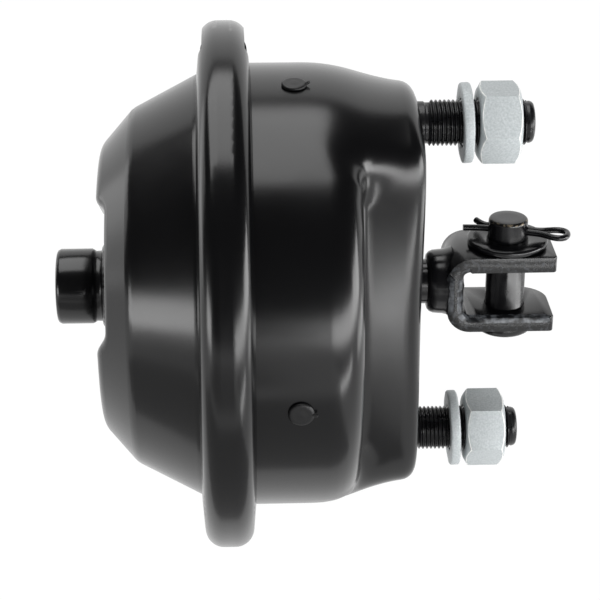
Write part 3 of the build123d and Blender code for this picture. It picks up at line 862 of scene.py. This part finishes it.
for edge in [e for e in strap.edges if on_rim(e) and e.calc_length() > 2 * MM]:
    bmesh.ops.subdivide_edges(strap, edges=[edge], cuts=int(edge.calc_length() / (FACET * MM)))
rim = [e for e in strap.edges if on_rim(e) and e.is_manifold and e.calc_face_angle(0) > radians(60)]
bmesh.ops.bevel(strap, geom=rim, offset=CHAMFER * MM, affect="EDGES", segments=2, profile=0.5, material=2)
for face in strap.faces:
    if face.material_index == 0 and abs(face.normal.y) > 0.99:
        face.material_index = 1
hammered_corners = {v for f in strap.faces if f.material_index == 2 for v in f.verts}
roughen(strap, 0.75, 2.2, lambda v: v in hammered_corners and abs(v.co.y) < (HALF_WIDTH - 0.01) * MM)
print("hammered corners:", len(hammered_corners))

# %% Soften the other edges and add the neck
soften(strap, 0.35, 50, only=lambda e: not any(f.material_index == 2 for f in e.link_faces))
ROD_SURFACE = 8.05
neck_outline = [
    (4.5, ROD_SURFACE),
    (4.5, 8.8),
    (4.8, 9.9),
    (5.6, 10.8),
    (6.8, 11.3),
    (8.4, 11.5),
    (10.0, 11.6),
    (11.6, 12.0),
    (13.4, 12.8),
    (13.6, ROD_SURFACE),
]
neck = turned(neck_outline, 72, closed=True)
finishes = [lacquer, sheared, hammered]
piece("bent_clevis", [strap, neck], "pushrod", finishes, ["clevis"], crease=30)

# %% [markdown]
# ## Clevis pin, its washer and the split pin
# The pin is turned with a round head below and bored across for the split pin. Its upper
# rim has lost its lacquer on one side, so those faces carry the chipped finish. All three
# are built along X, and one matrix stands them upright in the ears.

# %% Clevis pin
PIN_TOP, PIN_RADIUS, HEAD_BOTTOM = 24.5, 7.0, -18.7
head_outline = [
    (HEAD_BOTTOM, 0),
    (HEAD_BOTTOM, 8.4),
    (-18.5, 9.2),
    (-18.0, 9.9),
    (-17.2, 10.35),
    (-16.2, 10.5),
    (-15.2, 10.45),
    (-14.8, 10.2),
    (-14.7, 9.9),
    (-14.7, 7.3),
    (-14.4, PIN_RADIUS),
]
end_below_top = [(1.3, PIN_RADIUS), (0.8, 6.93), (0.4, 6.75), (0.12, 6.45), (0, 6.0), (0.15, 3.5), (0.05, 0)]
pin = turned(head_outline + [(PIN_TOP - below, radius) for below, radius in end_below_top], 72)
bmesh.ops.transform(pin, matrix=UPRIGHT, verts=pin.verts[:])
print("turned pin:", len(pin.faces), "faces")

# %% Cross hole of the pin and its chipped rim
SPLIT_Z = 20.0
SPLIT_TURN = Matrix.Rotation(radians(-18), 4, "Z")
across_pin = Matrix.Translation((PIN_X * MM, 0, SPLIT_Z * MM)) @ SPLIT_TURN
cross_hole = turned([(-12, 0), (-12, 2.4), (12, 2.4), (12, 0)], 32)
bmesh.ops.scale(cross_hole, vec=(1, 1, 0.62), verts=cross_hole.verts[:])
bmesh.ops.transform(cross_hole, matrix=across_pin, verts=cross_hole.verts[:])
pin = bored(pin, cross_hole)
for face in pin.faces:
    middle = face.calc_center_median()
    from_axis = hypot(middle.x - PIN_X * MM, middle.y)
    if middle.z > (PIN_TOP - 0.6) * MM and from_axis > 6.3 * MM and middle.y < 0:
        face.material_index = 1
finishes = [lacquer, rim_worn]
piece("headed_clevis_pin", [pin], "clevis_pin", finishes, ["clevis_pin"], crease=45)

# %% Washer on the upper ear
ring_outline = [
    (14.72, 7.05),
    (14.7, 13.0),
    (14.85, 13.9),
    (15.3, 14.3),
    (16.2, 14.38),
    (16.8, 14.2),
    (17.1, 13.8),
    (17.2, 13.2),
    (17.2, 7.5),
    (16.9, 7.05),
]
flat_ring = turned(ring_outline, 96, closed=True)
bmesh.ops.transform(flat_ring, matrix=UPRIGHT, verts=flat_ring.verts[:])
piece(
    "clevis_pin_washer", [flat_ring], "clevis_pin", [lacquer], ["pin_washer"], crease=50
)

# %% [markdown]
# ## Split pin
# The split pin is one wire doubled back through an eye, pushed through the cross hole and
# spread at its ends. A curve with a round bevel is the easiest way to bend a wire: the
# points of a NURBS curve are its bends, and the mesh is taken from it when it is done.

# %% Bent wire of the split pin
WIRE_RADIUS = 1.13
ARM = 1.18
first_leg = [(-15.6, -3.4), (-13.0, -2.6), (-10.2, -1.7), (-7.5, -1.2), (0.0, -ARM), (9.0, -ARM)]
half_eye = [(12.4, 1.5), (15.0, 2.9), (18.0, 3.9), (20.6, 3.0)]
eye = [(x, -y) for x, y in half_eye] + [(21.4, 0.0)] + half_eye[::-1]
second_leg = [(9.0, ARM), (0.0, ARM), (-7.5, 1.2), (-9.2, 1.8), (-10.8, 3.0), (-12.4, 4.6)]
route = first_leg + eye + second_leg
wire = bpy.data.curves.new("split pin wire", "CURVE")
wire.dimensions = "3D"
spline = wire.splines.new("NURBS")
spline.points.add(len(route) - 1)
for point, (x, y) in zip(spline.points, route):
    point.co = (x * MM, y * MM, 0.12 * (abs(x) > 12) * MM, 1)
spline.order_u = 4
spline.use_endpoint_u = True
spline.resolution_u = 6
wire.bevel_depth = WIRE_RADIUS * MM
wire.bevel_resolution = 5
wire.use_fill_caps = True
print("wire through", len(route), "points")

# %% Split pin
bent = bpy.data.objects.new("split pin wire", wire)
bpy.context.scene.collection.objects.link(bent)
form = bmesh.new()
form.from_mesh(bpy.data.meshes.new_from_object(bent.evaluated_get(bpy.context.evaluated_depsgraph_get())))
bpy.data.curves.remove(wire)
bmesh.ops.transform(form, matrix=across_pin, verts=form.verts[:])
piece("split_pin_wire", [form], "clevis_pin", [lacquer], ["split_pin"], crease=50)

# %% [markdown]
# ## Return spring
# Inside the cup a conical spring pushes the rod back when the air is let out. It is coiled
# from one round wire, so a circle is spun round the axis while it moves along, and each
# point is then pushed outwards as the cone grows. The push plate shuts it as the rod goes
# out.

# %% Coil of the return spring
WIRE, TURNS, TURN_STEPS = 2.6, 4.5, 48
SEAT_RADIUS, PLATE_RADIUS, STROKE = 25.0, 35.0, 57.0
low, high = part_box("return_spring")
length = high.x - low.x - 2 * WIRE * MM
coil = bmesh.new()
ring = bmesh.ops.create_circle(coil, segments=14, radius=WIRE * MM)["verts"]
bmesh.ops.rotate(coil, cent=(0, 0, 0), matrix=Matrix.Rotation(pi / 2, 3, "X"), verts=ring)
bmesh.ops.translate(coil, vec=(high.x - WIRE * MM, 0, SEAT_RADIUS * MM), verts=ring)
steps = round(TURNS * TURN_STEPS)
bmesh.ops.spin(
    coil,
    geom=coil.verts[:] + coil.edges[:],
    axis=(1, 0, 0),
    dvec=(-length / steps, 0, 0),
    angle=2 * pi * TURNS,
    steps=steps,
)
bmesh.ops.holes_fill(coil, edges=[e for e in coil.edges if e.is_boundary], sides=0)
print("coil:", len(coil.faces), "faces over", round(length / MM, 1), "mm")

# %% Return spring: the cone
for corner in coil.verts:
    out_so_far = (high.x - WIRE * MM - corner.co.x) / length
    radius = hypot(corner.co.y, corner.co.z)
    grown = 1 + (PLATE_RADIUS - SEAT_RADIUS) * MM * out_so_far / radius
    corner.co.y *= grown
    corner.co.z *= grown
bmesh.ops.recalc_face_normals(coil, faces=coil.faces[:])
spring = piece("conical_return_spring", [coil], "chamber", [spring_steel], ["return_spring"])
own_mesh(spring)

# %% [markdown]
# ## Floor
# The floor and the wall behind are one white sweep, so that there is no horizon. It glows
# by itself more than it is lit, as a lit plate of milk glass does, so that almost no
# shadow shows on it, and the black paint mirrors it evenly. Three points are the sweep's
# side view, one bevel bends it, and an extrusion makes it wide.

# %% Finish of the floor
paper, tree, shader, place = new_material("lit milk glass sweep", "#202020", 0.9, Specular_IOR_Level=0.0)
shader.inputs["Emission Color"].default_value = (1, 1, 1, 1)
shader.inputs["Emission Strength"].default_value = 1.0
print(paper.name, "glows by itself")

# %% Floor
floor_z = cad_box[0][2] - 0.5 * MM
FLOOR_SIDE, FLOOR_FRONT, FLOOR_BEND, WALL_LEAN, WALL_TOP = 6, -3, 2.0, 2.8, 3
side_view = ((FLOOR_FRONT, floor_z), (FLOOR_BEND, floor_z), (WALL_LEAN, floor_z + WALL_TOP))
sweep = bmesh.new()
ends = [sweep.verts.new((-FLOOR_SIDE, y, z)) for y, z in side_view]
for pair in zip(ends, ends[1:]):
    sweep.edges.new(pair)
bmesh.ops.bevel(
    sweep, geom=ends[1:2], offset=0.6, segments=16, profile=0.5, affect="VERTICES", material=-1
)
grown = bmesh.ops.extrude_edge_only(sweep, edges=sweep.edges[:])
moved = [v for v in grown["geom"] if isinstance(v, bmesh.types.BMVert)]
bmesh.ops.translate(sweep, verts=moved, vec=(2 * FLOOR_SIDE, 0, 0))
bmesh.ops.recalc_face_normals(sweep, faces=sweep.faces[:])
floor_mesh = bpy.data.meshes.new("floor")
sweep.to_mesh(floor_mesh)
sweep.free()
floor_mesh.materials.append(paper)
floor = bpy.data.objects.new("floor", floor_mesh)
bpy.context.scene.collection.objects.link(floor)
print("floor at", round(floor_z / MM, 1), "mm")

# %% [markdown]
# ## Grey cards
# Black gloss shows what it mirrors. With a white floor all round, its lower halves would
# turn grey, so grey cards lie on the floor before the part, as they do in a studio. They
# are only mirrored: the camera and the soft light don't see them.

# %% Grey cards before the part
grey, tree, shader, place = new_material("grey card", "#202020", 0.9, Specular_IOR_Level=0.0)
shader.inputs["Emission Color"].default_value = (1, 1, 1, 1)
shader.inputs["Emission Strength"].default_value = 0.42
card_areas = {
    "grey_card_near": (-0.31, 0.02, -0.075, -0.205),
    "grey_card_far_left": (-0.4, -0.03, -0.25, -0.8),
    "grey_card_far_right": (0.055, 0.5, -0.3, -0.8),
}
for name, (left, right, near, far) in card_areas.items():
    card_form = bmesh.new()
    bmesh.ops.create_grid(card_form, x_segments=1, y_segments=1, size=0.5)
    bmesh.ops.scale(card_form, vec=(right - left, near - far, 1), verts=card_form.verts[:])
    middle = ((left + right) / 2, (near + far) / 2, floor_z + 1 * MM)
    bmesh.ops.translate(card_form, vec=middle, verts=card_form.verts[:])
    card_mesh = bpy.data.meshes.new(name)
    card_form.to_mesh(card_mesh)
    card_form.free()
    card_mesh.materials.append(grey)
    card = bpy.data.objects.new(name, card_mesh)
    bpy.context.scene.collection.objects.link(card)
    card.visible_camera = card.visible_diffuse = card.visible_shadow = False
    print(name, "lies from", near, "to", far, "m")

# %% [markdown]
# ## Lights
# Each light is a soft box: a large area light, given by its middle, the point it faces and
# its size. Paint sends back only about a twentieth of what it mirrors, so a box has to be
# several times as bright as white paper to show as a highlight. The boxes are therefore
# set by that brightness, and their power follows from their size.

# %% Soft box helper


def soft_box(name, middle, target, width, height, brightness):
    """An area light whose face is so many times as bright as white paper."""
    data = bpy.data.lights.new(name, "AREA")
    data.shape = "RECTANGLE"
    data.size = width
    data.size_y = height
    data.energy = brightness * pi * width * height
    lamp = bpy.data.objects.new(name, data)
    lamp.location = middle
    lamp.rotation_euler = (Vector(middle) - Vector(target)).to_track_quat("Z", "Y").to_euler()
    bpy.context.scene.collection.objects.link(lamp)
    print(name, round(data.energy, 2), "W")
    return lamp


heart = Vector((-0.05, 0, 0))


def around(turn, height_angle, distance):
    """A place seen from the heart: turn degrees to the right of the camera's side, so high and so far."""
    a, b = radians(turn), radians(height_angle)
    return heart + distance * Vector((sin(a) * cos(b), -cos(a) * cos(b), sin(b)))


# %% Boxes above, at the sides and on the floor
BOX_DISTANCE = 0.9
over = heart + Vector((-0.26, 0.14, 1.0))
soft_box("overhead box", over, heart + Vector((-0.26, 0, 0)), 1.0, 0.92, 3.2)
soft_box("low left box", around(-58, 2, BOX_DISTANCE), heart, 0.4, 0.22, 6.4)
soft_box("low right box", around(37, 1, BOX_DISTANCE), heart, 0.98, 0.22, 7.0)
soft_box("left side box", around(-112, 12, BOX_DISTANCE), heart, 0.5, 0.55, 1.2)
soft_box("right side box", around(80, 5, BOX_DISTANCE), heart, 0.5, 0.3, 7.0)
on_floor = floor_z + 2 * MM
soft_box("floor strip", (0.135, -0.223, on_floor), (0.135, -0.223, 1.0), 0.2, 0.03, 10.0)
soft_box("right floor box", (0.35, 0.02, on_floor), (0.35, 0.02, 1.0), 0.2, 0.22, 3.2)

# %% Fill from the front: it lights the matte zinc, and the gloss doesn't mirror it
front_fill = soft_box("front fill", around(5, 24, BOX_DISTANCE), heart, 0.6, 0.6, 2.6)
front_fill.visible_glossy = False
world = bpy.data.worlds.new("studio")
world.use_nodes = True
world.node_tree.nodes["Background"].inputs["Color"].default_value = (1, 1, 1, 1)
world.node_tree.nodes["Background"].inputs["Strength"].default_value = 0.05
bpy.context.scene.world = world

# %% [markdown]
# ## Camera
# A long lens keeps the shapes calm. It looks down by about 25 degrees, from a little
# to the left. The camera is placed by a matrix whose columns are its own right,
# up and back directions, and whose position lies back along the view from its aim.

# %% Camera
FRAME_PIXELS, FOCAL_PIXELS, SENSOR = 600, 1857, 36
TURN, RISE, ROLL, REACH = radians(-2.33), radians(25.53), radians(0.17), 0.669
AIM = Vector((-0.0407, 0, -0.0068))
camera_data = bpy.data.cameras.new("camera")
camera_data.sensor_width = SENSOR
camera_data.lens = FOCAL_PIXELS / FRAME_PIXELS * SENSOR
camera_data.clip_start = 0.01
back = Vector((sin(TURN) * cos(RISE), -cos(TURN) * cos(RISE), sin(RISE)))
right = Vector((cos(TURN), sin(TURN), 0))
up = back.cross(right)
across = cos(ROLL) * right + sin(ROLL) * up
upward = cos(ROLL) * up - sin(ROLL) * right
pose = Matrix((across, upward, back)).transposed().to_4x4()
pose.translation = AIM + REACH * back
camera = bpy.data.objects.new("camera", camera_data)
camera.matrix_world = pose
bpy.context.scene.collection.objects.link(camera)
bpy.context.scene.camera = camera
bpy.context.scene.view_settings.view_transform = "Standard"
print("lens:", round(camera_data.lens, 1), "mm")
